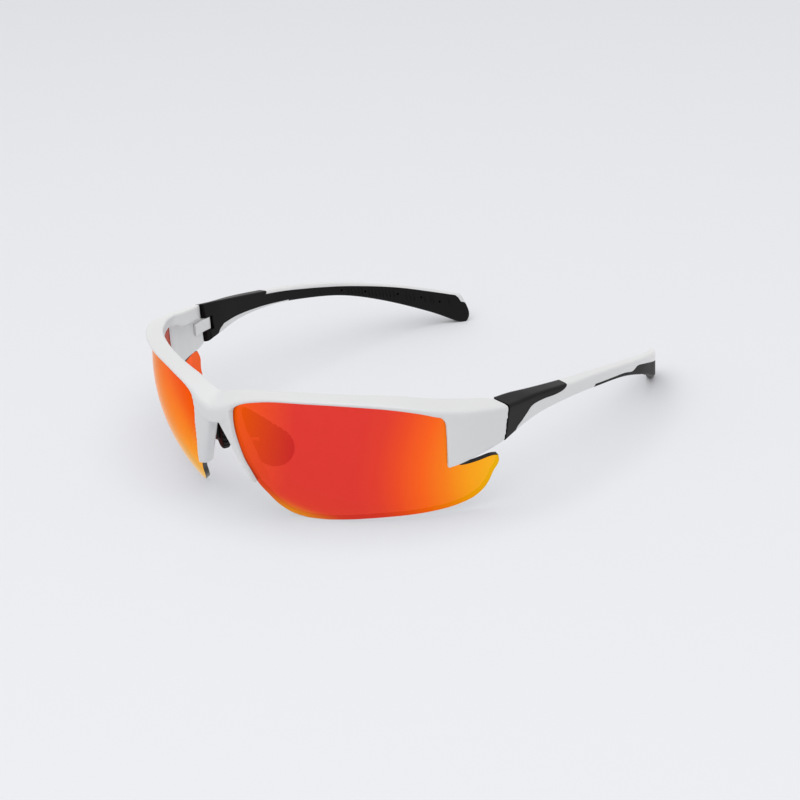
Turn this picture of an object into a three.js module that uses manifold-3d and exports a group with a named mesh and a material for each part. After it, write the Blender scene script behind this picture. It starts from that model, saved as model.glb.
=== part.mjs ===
// Wraparound sport sunglasses, in millimetres.
// X runs across the face, -Y is the front, +Z is up. The origin is on the surface they stand on,
// in the middle of their footprint. Each side is built for +X, and the other side is its mirror image.
import * as THREE from "three";
import { mergeVertices } from "three/addons/utils/BufferGeometryUtils.js";
import Module from "manifold-3d";

const wasm = await Module();
wasm.setup();

// Driving dimensions
const GAP = 0.3;
const LENS_RADIUS = 70.7;
const LENS_UPRIGHT_RADIUS = 63.8;
const LENS_CENTRE = new THREE.Vector3(2.8, -7.8, 30.6);
const LENS_THICKNESS = 1.8;
const EDGE_CUT = 0.7;
const HINGE_Y = -22.9;
const HINGE_SLANT = 21;
const PIN_X = 67.0;
const PIN_Y = -22.4;
const PIN_RADIUS = 0.6;
const PIN_CLEARANCE = 0.08;
const PIN_TOP = 32.6;
const HEAD_RADIUS = 1.1;
const HEAD_BOTTOM = 24.1;
const HEAD_TOP = 24.9;
const BARREL_RADIUS = 1.4;
const KNUCKLE_RADIUS = 1.85;
const TONGUE_BOTTOM = 26.6;
const TONGUE_TOP = 30.7;
const TONGUE_ROOT = new THREE.Vector2(64.4, -29.4);
const TONGUE_ROOT_WIDTH = 2.8;
const PAD_TOP = new THREE.Vector3(5.3, -71.1, 31.8);
const PAD_BOTTOM = new THREE.Vector3(11.9, -66.6, 21.2);
const PAD_FRONT = new THREE.Vector3(0.55, -0.81, -0.2);
const PAD_TOP_RADIUS = 2.2;
const PAD_BOTTOM_RADIUS = 6.9;
const PAD_THICKNESS = 2.6;
const CARRIER_THICKNESS = 0.8;
const WIRE_RADIUS = 0.6;
const WIRE_ROOT = new THREE.Vector3(9.6, -73, 25.4);
const WIRE_RISE = 5;
const PAD_BEVEL = 0.7;
const CARRIER_TOP_RADIUS = 1.2;
const CARRIER_BOTTOM_RADIUS = 3.6;
const CARRIER_SHARE = 0.8;
const ARM_TAPER = 0.3;
const ARM_NOTCH = 5;
const POCKET_REACH = 3;
const HINGE_MARGIN = 0.35;
const NOTCH_REACH = 4;
const SWING_REACH = 8;
const SWING_FRONT = 3;
const LENS_SEGMENTS = 84;
const LENS_REACH = 16;
// Heights below and above everything, for solids that only cut.
const BELOW = -10;
const ABOVE = 50;
// Values of x between which a temple lies, and how far its inner side reaches.
const TEMPLE_INSIDE = 30;
const TEMPLE_OUTSIDE = 80;
const INNER_REACH = 12;

// Brow stations from the bridge to the hinge. x, y: front ridge in plan. ridge, back: heights of the
// front and rear top edges. depth: how far the visor reaches inwards. lip, under: lower edges.
const BROW = [
  { x: 0, y: -80.6, ridge: 36.4, depth: 6.5, back: 40.1, lip: 31.2, under: 32.3 },
  { x: 5.2, y: -80.3, ridge: 37.6, depth: 6.1, back: 41.4, lip: 32.6, under: 33.7 },
  { x: 10.2, y: -79.1, ridge: 39.9, depth: 5.7, back: 42.6, lip: 38.3, under: 38.3 },
  { x: 20.4, y: -77, ridge: 42.9, depth: 5.6, back: 44, lip: 41.8, under: 40.5 },
  { x: 34.4, y: -72.1, ridge: 44, depth: 5.8, back: 44.8, lip: 43, under: 41 },
  { x: 46.5, y: -65, ridge: 43.7, depth: 6, back: 44.5, lip: 42.6, under: 40.6 },
  { x: 55, y: -57.4, ridge: 42.3, depth: 6.6, back: 43.5, lip: 40.9, under: 39.8 },
  { x: 60.9, y: -50.7, ridge: 40.4, depth: 7, back: 41.9, lip: 38.6, under: 38.2 },
  { x: 64.4, y: -45.4, ridge: 38.8, depth: 7.2, back: 40.5, lip: 36.3, under: 36.2 },
  { x: 66.8, y: -41, ridge: 37.7, depth: 7.8, back: 39.4, lip: 35.3, under: 34 },
  { x: 69.2, y: -34.7, ridge: 36.5, depth: 7.4, back: 38.1, lip: 34.2, under: 32.9 },
  { x: 70.7, y: -28.6, ridge: 35.2, depth: 6.2, back: 37, lip: 33, under: 31.8 },
  { x: 71.5, y: -23.06, ridge: 34.2, depth: 5.4, back: 36.3, lip: 32, under: 30.7 },
];

// End piece stations, front edge to hinge. x, y: outer face at its top. lean: how far its foot
// sits inwards. thick: at the top. foot: at the bottom.
const END_PIECE = [
  { x: 65.2, y: -44, top: 37.9, bottom: 19.1, thick: 4.2, foot: 3.7, lean: 0.9 },
  { x: 67.2, y: -40.2, top: 37.2, bottom: 19.6, thick: 4.2, foot: 3.7, lean: 1.2 },
  { x: 69.2, y: -34.8, top: 36.4, bottom: 20.5, thick: 4.4, foot: 3.7, lean: 1.6 },
  { x: 70.7, y: -28.7, top: 35.1, bottom: 21.4, thick: 4.7, foot: 3.8, lean: 1.9 },
  { x: 71.5, y: -23.06, top: 34.1, bottom: 22.2, thick: 5.2, foot: 4.2, lean: 2.1 },
];

// Nasal arm stations, downwards. inner, outer: x of its two edges. front: y of its front face at the
// inner edge. turn: how far the outer edge lies in front of that.
const NASAL_ARM = [
  { z: 37.2, inner: 0.6, outer: 9, front: -79.8, turn: 0, depth: 5.4 },
  { z: 34.2, inner: 0.8, outer: 8.8, front: -79.6, turn: 0.2, depth: 5.2 },
  { z: 31.2, inner: 1.6, outer: 9.3, front: -79.1, turn: 0.7, depth: 4.8 },
  { z: 28.2, inner: 2.9, outer: 10.2, front: -78.6, turn: 1.1, depth: 4.5 },
  { z: 24.4, inner: 4.6, outer: 11.7, front: -77.9, turn: 1.4, depth: 4.4 },
  { z: 20.2, inner: 6.5, outer: 13.2, front: -77.3, turn: 1.6, depth: 4.3 },
  { z: 16.2, inner: 8.2, outer: 14.7, front: -76.5, turn: 1.6, depth: 4.2 },
  { z: 12.5, inner: 9.9, outer: 15.8, front: -75.7, turn: 1.6, depth: 4.1 },
];

// Temple stations, hinge to tip. x, y: outer face at its upper edge. top, bottom: heights.
// slope: how far the outer top edge lies below the inner one. lean: of the foot, inwards.
const TEMPLE = [
  { x: 71.5, y: -22.74, top: 36.4, slope: 2.2, bottom: 22.2, thick: 6, foot: 5.2, lean: 2.1 },
  { x: 71.2, y: -17.3, top: 35.4, slope: 1.9, bottom: 23.9, thick: 5.5, foot: 4.8, lean: 1.5 },
  { x: 70.8, y: -8.4, top: 33.7, slope: 0.9, bottom: 25.5, thick: 4.9, foot: 4.5, lean: 0.8 },
  { x: 70.3, y: 7.4, top: 30.9, slope: 0.6, bottom: 25.3, thick: 4.5, foot: 4.3, lean: 0.4 },
  { x: 68.3, y: 23.4, top: 27.9, slope: 0.4, bottom: 22.9, thick: 3.9, foot: 3.9, lean: 0.2 },
  { x: 65.1, y: 39.2, top: 24.2, slope: 0.4, bottom: 19.3, thick: 3.6, foot: 3.6, lean: 0.2 },
  { x: 59.9, y: 55.1, top: 19.5, slope: 0.4, bottom: 13.1, thick: 3.5, foot: 3.6, lean: 0.2 },
  { x: 52.3, y: 70.9, top: 14.1, slope: 0.4, bottom: 5.1, thick: 2.9, foot: 3.5, lean: 0.2 },
  { x: 49, y: 75.2, top: 12.4, slope: 0.3, bottom: 2.6, thick: 2.3, foot: 3.2, lean: 0.2 },
  { x: 46.8, y: 77.6, top: 11.4, slope: 0.3, bottom: 0.9, thick: 1.9, foot: 3, lean: 0.2 },
  { x: 44.3, y: 80.6, top: 10.3, slope: 0.3, bottom: -1, thick: 1.5, foot: 2.7, lean: 0.2 },
];

// Lens outline as x, z on its front surface, from the upper nasal corner round by the brow.
const LENS_BROW = [[8.2, 36.4], [9.6, 38.8], [13.3, 40.8], [20.4, 42], [33.1, 42.8], [41.1, 42.6],
  [48.3, 41.9], [54.8, 40.8], [60.4, 38.6], [63.6, 36.6], [65.3, 34]];
const LENS_NOTCH = [[65.2, 26.1], [64.7, 18.9], [66, 18.8], [67.5, 19.1], [69, 19.7]];
const LENS_RIM = [[69.6, 19.1], [69.1, 16.3], [67.8, 13.2], [66.4, 9.9], [64.7, 6.9], [62.3, 4.2],
  [59, 2.5], [54.3, 1.7], [45.5, 1.3], [37.3, 0.6], [30.6, 0]];
const LENS_NOSE = [[24.5, 0], [20, 1.4], [16.8, 4.6], [14.8, 8.6], [13, 11.9], [11.8, 16.5],
  [10.5, 20.4], [9.5, 25.2], [8.6, 29.5], [8.1, 33.6]];

// Outlines in y, z that divide a temple into its black core, white shell and rubber grip.
const CORE_OUTER = [[-30, 40], [-30, 11.5], [-19.8, 21.4], [-18.6, 24.8], [-16.3, 26.5], [-14.1, 28.3],
  [-11.9, 29.9], [-6.5, 30.1], [-0.9, 29.5], [3.3, 29.7], [5.3, 31], [4.3, 32.6], [1.2, 35.1],
  [-9.7, 40]];
const CORE_INNER = [[-30, 40], [-30, 11.5], [-19.8, 21.4], [-19.4, 26.2], [-10.3, 27.2], [1.5, 26.7],
  [14.5, 25.1], [14.8, 20.9], [27.9, 16.7], [28.1, 25.4], [12.5, 28.8], [3.4, 30.4], [3.6, 40]];
const GRIP_INNER = [[28.1, 25.4], [27.9, 16.7], [49.9, 10.4], [69.7, 0.1], [77.7, -5], [90, -5],
  [90, 5.9], [79.3, 6], [78, 9.3], [77.2, 10.3], [72, 12.2], [57.9, 17.4], [40, 22.5]];
const STRIP_OUTER = [[18, 21.9], [20.5, 24.6], [39, 20.7], [46, 18.4], [50, 18.5], [54.9, 16.9],
  [70.9, 10.5], [83.8, 5.6], [90, -5], [49.7, -5], [17.9, 15.9]];

// A solid from rings of equal length: sides between them, a fan over each end.
function loft(rings) {
  const count = rings[0].length;
  const points = rings.flat();
  const faces = [];
  for (let r = 0; r + 1 < rings.length; r++) {
    for (let i = 0; i < count; i++) {
      const a = r * count + i;
      const b = r * count + ((i + 1) % count);
      faces.push(a, b, b + count, a, b + count, a + count);
    }
  }
  const addCap = (start, flip) => {
    const middle = new THREE.Vector3();
    for (let i = 0; i < count; i++) middle.add(points[start + i]);
    points.push(middle.divideScalar(count));
    const centre = points.length - 1;
    for (let i = 0; i < count; i++) {
      const a = start + i;
      const b = start + ((i + 1) % count);
      faces.push(...(flip ? [centre, b, a] : [centre, a, b]));
    }
  };
  addCap(0, true);
  addCap((rings.length - 1) * count, false);
  const geometry = new THREE.BufferGeometry().setFromPoints(points);
  geometry.setIndex(faces);
  return toSolid(geometry);
}

// A manifold-3d solid from a closed three.js geometry, whichever way its faces run.
function toSolid(geometry) {
  const bare = geometry.clone();
  bare.deleteAttribute("normal");
  bare.deleteAttribute("uv");
  const merged = mergeVertices(bare, 1e-4);
  const vertProperties = merged.attributes.position.array;
  const triVerts = new Uint32Array(merged.index.array);
  const build = () => new wasm.Manifold(new wasm.Mesh({ numProp: 3, vertProperties, triVerts }));
  const solid = build();
  if (solid.volume() >= 0) return solid;
  triVerts.reverse();
  return build();
}

function toGeometry(solid) {
  const { vertProperties, triVerts } = solid.getMesh();
  const geometry = new THREE.BufferGeometry();
  geometry.setAttribute("position", new THREE.BufferAttribute(Float32Array.from(vertProperties), 3));
  geometry.setIndex(Array.from(triVerts));
  const faceted = geometry.toNonIndexed();
  faceted.computeVertexNormals();
  return faceted;
}

// Replaces each corner of a ring by two points, cut millimetres along its edges.
function chamfer(corners, cut = EDGE_CUT) {
  const ring = [];
  corners.forEach((corner, i) => {
    for (const step of [-1, 1]) {
      const other = corners[(i + step + corners.length) % corners.length];
      const length = corner.distanceTo(other);
      ring.push(corner.clone().lerp(other, Math.min(cut, 0.4 * length) / length));
    }
  });
  return ring;
}

// Runs a smooth curve through each point of the rings and returns more rings along them.
function refine(rings, stepsPerSpan) {
  const curves = rings[0].map((_, i) => new THREE.CatmullRomCurve3(rings.map((ring) => ring[i])));
  const steps = (rings.length - 1) * stepsPerSpan;
  return Array.from({ length: steps + 1 }, (_, k) => curves.map((curve) => curve.getPoint(k / steps)));
}

// The direction pointing inwards, across the path of a list of stations. The hinge face slants
// forwards as it goes inwards.
function inward(stations, i) {
  if (Math.abs(stations[i].y - HINGE_Y) < GAP) {
    const slant = THREE.MathUtils.degToRad(HINGE_SLANT);
    return new THREE.Vector3(-Math.cos(slant), -Math.sin(slant), 0);
  }
  const before = stations[Math.max(i - 1, 0)];
  const after = stations[Math.min(i + 1, stations.length - 1)];
  return new THREE.Vector3(-(after.y - before.y), after.x - before.x, 0).normalize();
}

function browSolid() {
  const half = BROW.map((s, i) => {
    const across = i === 0 ? new THREE.Vector3(0, 1, 0) : inward(BROW, i);
    const front = new THREE.Vector3(s.x, s.y, 0);
    const rear = front.clone().addScaledVector(across, s.depth);
    const corners = [
      front.clone().setZ(s.ridge),
      rear.clone().setZ(s.back),
      rear.clone().setZ(s.under),
      front.clone().addScaledVector(across, 0.2).setZ(s.lip),
    ];
    return chamfer(corners, 0.5);
  });
  const mirrored = half.slice(1).map((ring) => ring.map((p) => new THREE.Vector3(-p.x, p.y, p.z)));
  return loft(refine([...mirrored.reverse(), ...half], 2));
}

function wallRing(stations, i, topInner) {
  const s = stations[i];
  const across = inward(stations, i);
  const top = new THREE.Vector3(s.x, s.y, 0);
  const foot = top.clone().addScaledVector(across, s.lean);
  return chamfer([
    top.clone().setZ(topInner - (s.slope ?? 0)),
    top.clone().addScaledVector(across, s.thick).setZ(topInner),
    foot.clone().addScaledVector(across, s.foot).setZ(s.bottom),
    foot.clone().setZ(s.bottom),
  ]);
}

function endPieceSolid() {
  return loft(refine(END_PIECE.map((s, i) => wallRing(END_PIECE, i, s.top)), 2));
}

function templeBlank() {
  const rings = refine(TEMPLE.map((s, i) => wallRing(TEMPLE, i, s.top)), 3);
  rings.flat().forEach((point) => point.setZ(Math.max(point.z, 0)));
  return loft(rings);
}

function nasalArmSolid() {
  const rings = NASAL_ARM.map((s) => chamfer([
    new THREE.Vector3(s.inner, s.front, s.z),
    new THREE.Vector3(s.outer, s.front - s.turn, s.z),
    new THREE.Vector3(s.outer, s.front + s.depth, s.z),
    new THREE.Vector3(s.inner + ARM_TAPER, s.front + s.depth, s.z),
  ]));
  return loft(refine(rings, 2));
}

// The radius of the lens's front surface, seen from above, at a height.
function lensLevel(z) {
  return LENS_RADIUS * Math.sqrt(1 - ((z - LENS_CENTRE.z) / LENS_UPRIGHT_RADIUS) ** 2);
}

// The lens outline as distance round its front surface and height.
function lensOutline() {
  const smooth = (list, count) => new THREE.SplineCurve(list.map(([x, z]) => new THREE.Vector2(x, z)))
    .getPoints(count);
  const outline = [
    ...smooth(LENS_BROW, 20),
    ...LENS_NOTCH.map(([x, z]) => new THREE.Vector2(x, z)),
    ...smooth(LENS_RIM, 20),
    ...smooth(LENS_NOSE, 14),
  ];
  return outline.map(({ x, y: z }) => {
    return new THREE.Vector2(LENS_RADIUS * Math.asin((x - LENS_CENTRE.x) / lensLevel(z)), z);
  });
}

function grown(outline, by) {
  const turn = Math.sign(THREE.ShapeUtils.area(outline));
  return outline.map((point, i) => {
    const before = outline[(i - 1 + outline.length) % outline.length];
    const after = outline[(i + 1) % outline.length];
    const along = after.clone().sub(before).normalize();
    return point.clone().add(new THREE.Vector2(along.y, -along.x).multiplyScalar(by * turn));
  });
}

// A lens, or the slot for one: a curved shell cut by walls that run out from its centre. A slot
// that is open to the front reaches proud millimetres past the lens.
function lensSolid(extra, proud = 0) {
  const shell = (offset) => {
    const across = LENS_RADIUS + offset;
    const ball = new THREE.SphereGeometry(1, LENS_SEGMENTS, LENS_SEGMENTS / 2).rotateX(Math.PI / 2);
    return toSolid(ball.scale(across, across, LENS_UPRIGHT_RADIUS + offset));
  };
  const outline = grown(lensOutline(), extra);
  const ring = (radius) => outline.map(({ x: arc, y: z }) => {
    const level = lensLevel(z);
    const angle = arc / LENS_RADIUS;
    return new THREE.Vector3(level * Math.sin(angle), -level * Math.cos(angle), z - LENS_CENTRE.z)
      .setLength(radius);
  });
  const points = [...ring(LENS_RADIUS - LENS_REACH), ...ring(LENS_RADIUS + LENS_REACH)];
  const faces = [];
  const count = outline.length;
  for (const [a, b, c] of THREE.ShapeUtils.triangulateShape(outline, [])) {
    faces.push(c, b, a, a + count, b + count, c + count);
  }
  const turn = THREE.ShapeUtils.isClockWise(outline);
  for (let i = 0; i < count; i++) {
    const j = (i + 1) % count;
    faces.push(...(turn ? [j, i, i + count, j, i + count, j + count]
      : [i, j, j + count, i, j + count, i + count]));
  }
  const cutter = new THREE.BufferGeometry().setFromPoints(points);
  cutter.setIndex(faces);
  const wall = shell(extra + proud).subtract(shell(-LENS_THICKNESS - extra));
  return wall.intersect(toSolid(cutter)).translate(LENS_CENTRE.toArray());
}

// A prism whose outline is given in y and z, between two values of x.
function sidePrism(outline, fromX, toX, extra = 0) {
  const points = grown(outline.map(([y, z]) => new THREE.Vector2(y, z)), extra);
  const options = { depth: toX - fromX, bevelEnabled: false };
  const geometry = new THREE.ExtrudeGeometry(new THREE.Shape(points), options);
  const basis = new THREE.Matrix4().makeBasis(
    new THREE.Vector3(0, 1, 0), new THREE.Vector3(0, 0, 1), new THREE.Vector3(1, 0, 0));
  geometry.applyMatrix4(basis).translate(fromX, 0, 0);
  return toSolid(geometry);
}

// An upright prism whose outline is given in x and y.
function uprightPrism(shape, bottom, top) {
  const options = { depth: top - bottom, bevelEnabled: false, curveSegments: 10 };
  return toSolid(new THREE.ExtrudeGeometry(shape, options).translate(0, 0, bottom));
}

function uprightCylinder(radius, bottom, top, sides = 16) {
  const geometry = new THREE.CylinderGeometry(radius, radius, top - bottom, sides);
  geometry.rotateX(Math.PI / 2).translate(PIN_X, PIN_Y, (top + bottom) / 2);
  return toSolid(geometry);
}

// The hinge tongue seen from above: a bar set in the end piece that ends in a barrel round the pin.
function tongueShape(extra, innerReach) {
  const shape = new THREE.Shape();
  shape.moveTo(TONGUE_ROOT.x - innerReach, TONGUE_ROOT.y - extra);
  shape.lineTo(TONGUE_ROOT.x + TONGUE_ROOT_WIDTH + extra, TONGUE_ROOT.y - extra);
  shape.lineTo(PIN_X + BARREL_RADIUS + extra, PIN_Y);
  shape.absarc(PIN_X, PIN_Y, BARREL_RADIUS + extra, 0, Math.PI, false);
  shape.lineTo(PIN_X - BARREL_RADIUS - innerReach, PIN_Y - 2);
  shape.closePath();
  return shape;
}

function tongueSolid() {
  const bar = uprightPrism(tongueShape(0, 0), TONGUE_BOTTOM, TONGUE_TOP);
  return bar.subtract(uprightCylinder(PIN_RADIUS + PIN_CLEARANCE, TONGUE_BOTTOM - 1, TONGUE_TOP + 1));
}

function pinSolid() {
  const profile = [
    [0, HEAD_BOTTOM], [HEAD_RADIUS, HEAD_BOTTOM], [HEAD_RADIUS, HEAD_TOP],
    [PIN_RADIUS, HEAD_TOP], [PIN_RADIUS, PIN_TOP], [0, PIN_TOP],
  ];
  const lathe = new THREE.LatheGeometry(profile.map(([r, z]) => new THREE.Vector2(r, z)), 16);
  return toSolid(lathe.rotateX(Math.PI / 2).translate(PIN_X, PIN_Y, 0));
}

function frameSolid() {
  const slot = lensSolid(GAP);
  const pocket = uprightPrism(tongueShape(GAP, POCKET_REACH), TONGUE_BOTTOM - GAP, TONGUE_TOP + GAP);
  const arm = nasalArmSolid().subtract(lensSolid(GAP, ARM_NOTCH));
  const both = (solid) => solid.add(solid.mirror([1, 0, 0]));
  return browSolid()
    .add(both(endPieceSolid().add(arm)))
    .subtract(both(slot.add(pocket)));
}

// What the temple's front must leave free so that it can turn in past the end piece.
function hingeRoom() {
  const bottom = TONGUE_BOTTOM - HINGE_MARGIN;
  const top = TONGUE_TOP + HINGE_MARGIN;
  const back = PIN_Y + BARREL_RADIUS + HINGE_MARGIN;
  const notch = uprightPrism(tongueShape(HINGE_MARGIN, NOTCH_REACH), bottom, top);
  const inside = new THREE.Shape();
  inside.moveTo(PIN_X, back);
  inside.lineTo(PIN_X - SWING_REACH, back);
  inside.lineTo(PIN_X - SWING_REACH, PIN_Y - SWING_FRONT);
  inside.lineTo(PIN_X, PIN_Y - SWING_FRONT);
  const swing = uprightPrism(inside, bottom, top);
  const corner = new THREE.Shape();
  corner.moveTo(PIN_X, PIN_Y);
  corner.lineTo(PIN_X - SWING_REACH, PIN_Y);
  corner.lineTo(PIN_X - SWING_REACH, PIN_Y - SWING_REACH);
  corner.lineTo(PIN_X, PIN_Y - SWING_REACH);
  const rounding = uprightPrism(corner, BELOW, ABOVE)
    .subtract(uprightCylinder(KNUCKLE_RADIUS, BELOW - 1, ABOVE + 1, 24));
  const hole = uprightCylinder(PIN_RADIUS + PIN_CLEARANCE, BELOW, PIN_TOP + GAP)
    .add(uprightCylinder(HEAD_RADIUS + PIN_CLEARANCE, BELOW, HEAD_TOP + PIN_CLEARANCE));
  return notch.add(swing).add(rounding).add(hole);
}

// The middle surface of a temple, as a solid that holds everything on its inner side.
function innerSide(extra) {
  const rings = TEMPLE.map((s, i) => {
    const across = inward(TEMPLE, i);
    const middle = new THREE.Vector3(s.x, s.y, 0)
      .addScaledVector(across, (s.thick + s.lean) / 2 - extra);
    const far = middle.clone().addScaledVector(across, INNER_REACH);
    return [
      middle.clone().setZ(BELOW), middle.clone().setZ(ABOVE),
      far.clone().setZ(ABOVE), far.clone().setZ(BELOW),
    ];
  });
  const beyond = (ring, step) => ring.map((point) => point.clone().add(step));
  const first = beyond(rings[0], new THREE.Vector3(0, -SWING_REACH, 0));
  const last = beyond(rings[rings.length - 1], new THREE.Vector3(-SWING_REACH, SWING_REACH, 0));
  return loft([first, ...refine(rings, 3), last]);
}

function templeSolids() {
  const blank = templeBlank();
  const prism = (outline, extra) => sidePrism(outline, TEMPLE_INSIDE, TEMPLE_OUTSIDE, extra);
  const inner = (outline, extra) => prism(outline, extra).intersect(innerSide(extra));
  const core = (extra) => prism(CORE_OUTER, extra).add(inner(CORE_INNER, extra));
  const grip = (extra) => prism(STRIP_OUTER, extra).add(inner(GRIP_INNER, extra));
  return {
    core: blank.intersect(core(0)).subtract(hingeRoom()),
    grip: blank.intersect(grip(0)).subtract(core(GAP)),
    shell: blank.subtract(core(GAP)).subtract(grip(GAP)),
  };
}

// The nose pad's own axes: sideways, up its length, and out of its front.
function padAxes() {
  const up = PAD_TOP.clone().sub(PAD_BOTTOM).normalize();
  const front = PAD_FRONT.clone().projectOnPlane(up).normalize();
  return { side: up.clone().cross(front), up, front };
}

// Places a piece drawn flat, with its long axis up the page, on the plane of the nose pad.
function onPad(geometry, forward) {
  const { side, up, front } = padAxes();
  const basis = new THREE.Matrix4().makeBasis(side, up, front);
  basis.setPosition(PAD_BOTTOM.clone().addScaledVector(front, forward));
  return toSolid(geometry.applyMatrix4(basis));
}

// A teardrop: a small circle over a large one, with straight flanks.
function teardrop(topRadius, bottomRadius, rise) {
  const tilt = Math.asin((bottomRadius - topRadius) / rise);
  const shape = new THREE.Shape();
  shape.absarc(0, 0, bottomRadius, Math.PI - tilt, tilt, false);
  shape.absarc(0, rise, topRadius, tilt, Math.PI - tilt, false);
  return shape;
}

function padSolids() {
  const rise = PAD_TOP.distanceTo(PAD_BOTTOM);
  const outline = teardrop(PAD_TOP_RADIUS - PAD_BEVEL, PAD_BOTTOM_RADIUS - PAD_BEVEL, rise);
  const pad = new THREE.ExtrudeGeometry(outline, {
    depth: PAD_THICKNESS - 2 * PAD_BEVEL,
    bevelThickness: PAD_BEVEL,
    bevelSize: PAD_BEVEL,
    bevelSegments: 2,
    curveSegments: 8,
  });
  const plate = teardrop(CARRIER_TOP_RADIUS, CARRIER_BOTTOM_RADIUS, rise * CARRIER_SHARE);
  const options = { depth: CARRIER_THICKNESS, bevelEnabled: false, curveSegments: 8 };
  const carrier = new THREE.ExtrudeGeometry(plate, options);
  return {
    pad: onPad(pad, PAD_BEVEL - PAD_THICKNESS / 2),
    carrier: onPad(carrier, PAD_THICKNESS / 2 + GAP),
  };
}

// A straight steel bar from the back of the nasal arm to just in front of the carrier.
function wireSolid() {
  const { up, front } = padAxes();
  const end = PAD_BOTTOM.clone()
    .addScaledVector(up, WIRE_RISE)
    .addScaledVector(front, PAD_THICKNESS / 2 + CARRIER_THICKNESS + 3 * GAP);
  const along = end.clone().sub(WIRE_ROOT);
  const bar = new THREE.CylinderGeometry(WIRE_RADIUS, WIRE_RADIUS, along.length(), 12);
  const turn = new THREE.Quaternion().setFromUnitVectors(
    new THREE.Vector3(0, 1, 0), along.clone().normalize());
  bar.applyQuaternion(turn).translate(...end.add(WIRE_ROOT).divideScalar(2).toArray());
  return toSolid(bar);
}

const FINISHES = {
  white: { color: 0xe6e7e9, roughness: 0.32, metalness: 0 },
  black: { color: 0x232326, roughness: 0.5, metalness: 0 },
  rubber: { color: 0x2b2b2d, roughness: 0.75, metalness: 0 },
  mirror: { color: 0xe5402a, roughness: 0.08, metalness: 0.9 },
  steel: { color: 0xb8babd, roughness: 0.3, metalness: 1 },
};

function mesh(name, solid, finish) {
  const part = new THREE.Mesh(toGeometry(solid), new THREE.MeshStandardMaterial(FINISHES[finish]));
  part.name = name;
  return part;
}

function sideParts() {
  const { core, grip, shell } = templeSolids();
  const { pad, carrier } = padSolids();
  return [
    ["lens", lensSolid(0), "mirror"],
    ["nose_pad", pad, "rubber"],
    ["nose_pad_carrier", carrier, "black"],
    ["nose_pad_wire", wireSolid(), "steel"],
    ["hinge_tongue", tongueSolid(), "white"],
    ["hinge_screw", pinSolid(), "steel"],
    ["temple_core", core, "black"],
    ["temple_shell", shell, "white"],
    ["temple_grip", grip, "rubber"],
  ];
}

const sunglasses = new THREE.Group();
sunglasses.add(mesh("frame_front", frameSolid(), "white"));
for (const [name, solid, finish] of sideParts()) {
  sunglasses.add(mesh(`${name}_left`, solid, finish));
  sunglasses.add(mesh(`${name}_right`, solid.mirror([1, 0, 0]), finish));
}

export default sunglasses;
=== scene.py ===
"""Wraparound sport sunglasses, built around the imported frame. The shape data is in millimetres,
the meshes are in metres, and a side piece is made at +X and mirrored for the other side."""

import math

import bmesh
import bpy
import numpy as np
from mathutils import Matrix, Vector
from mathutils.geometry import delaunay_2d_cdt


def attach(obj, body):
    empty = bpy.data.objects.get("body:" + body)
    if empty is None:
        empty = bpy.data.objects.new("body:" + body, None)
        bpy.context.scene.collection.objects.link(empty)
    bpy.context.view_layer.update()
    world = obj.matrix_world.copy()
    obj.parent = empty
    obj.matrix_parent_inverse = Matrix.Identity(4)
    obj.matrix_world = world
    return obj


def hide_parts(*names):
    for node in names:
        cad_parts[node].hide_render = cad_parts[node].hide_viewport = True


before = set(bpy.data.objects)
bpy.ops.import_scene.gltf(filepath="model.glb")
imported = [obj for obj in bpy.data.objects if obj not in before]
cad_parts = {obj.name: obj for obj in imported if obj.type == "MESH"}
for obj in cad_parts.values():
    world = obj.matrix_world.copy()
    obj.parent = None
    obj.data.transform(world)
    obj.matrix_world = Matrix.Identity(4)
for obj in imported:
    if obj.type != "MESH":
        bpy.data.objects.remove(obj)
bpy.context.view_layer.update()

MM = 0.001
SIDES = ("left", "right")

# ------------------------------------------------------------------ shape data
# As in the CAD, but for a thinner lens, narrower gaps, a longer temple blank, the tip's outline
# and the vents and ribs.
LENS_R = 70.7
LENS_UPRIGHT_R = 63.8
LENS_CENTRE = np.array([2.8, -7.8, 30.6])
LENS_THICK = 1.7
SLOT_GAP = 0.12
LENS_STEPS = 6
LENS_EDGE_POINTS = 420
NOTCH_RADIUS = 0.6
FILLET_RADIUS = 2.4
FILLET_TOP = 38.2
FILLET_LOW = 35.6
FILLET_RISE = 0.55
FILLET_ACROSS = np.array([-0.86, 0.5, 0])
FILLET_THICK = 3.4
HINGE_Y = -22.9
HINGE_SLANT = math.radians(21)
PIN = np.array([67.0, -22.4])
PIN_R = 0.6
BARREL_R = 1.4
KNUCKLE_R = 1.85
TONGUE_Z = (26.6, 30.7)
TONGUE_ROOT = np.array([64.4, -29.4])
TONGUE_ROOT_WIDTH = 2.8
HINGE_MARGIN = 0.35
NOTCH_REACH = 4
SWING_REACH = 8
SWING_FRONT = 3
POCKET_MARGIN = 0.1
POCKET_REACH = 3
PIN_ROOM = 0.08
PIN_TOP = 32.9
HEAD_R = 1.18
HEAD_TOP = 24.98
BELOW_HEAD = 15
PAD_TOP = np.array([5.3, -71.1, 31.8])
PAD_BOTTOM = np.array([11.9, -66.6, 21.2])
PAD_FRONT = np.array([0.55, -0.81, -0.2])
PAD_TOP_R = 2.2
PAD_BOTTOM_R = 6.9
PAD_GROOVES = (-1.6, 0.2, 2.0, 3.8, 5.6)
CARRIER_TOP_R = 1.2
CARRIER_BOTTOM_R = 3.6
CARRIER_SHARE = 0.8
# Pad and carrier layers: inset of the outline, height over the pad's middle.
PAD_LAYERS = [(0.9, -1.3), (0.45, -1.22), (0.15, -1.0), (0, -0.6), (0, 0.5), (0.2, 0.95),
              (0.6, 1.2), (1.1, 1.3)]
CARRIER_LAYERS = [(0.25, 1.36), (0, 1.6), (0, 2.15), (0.3, 2.4)]

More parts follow.
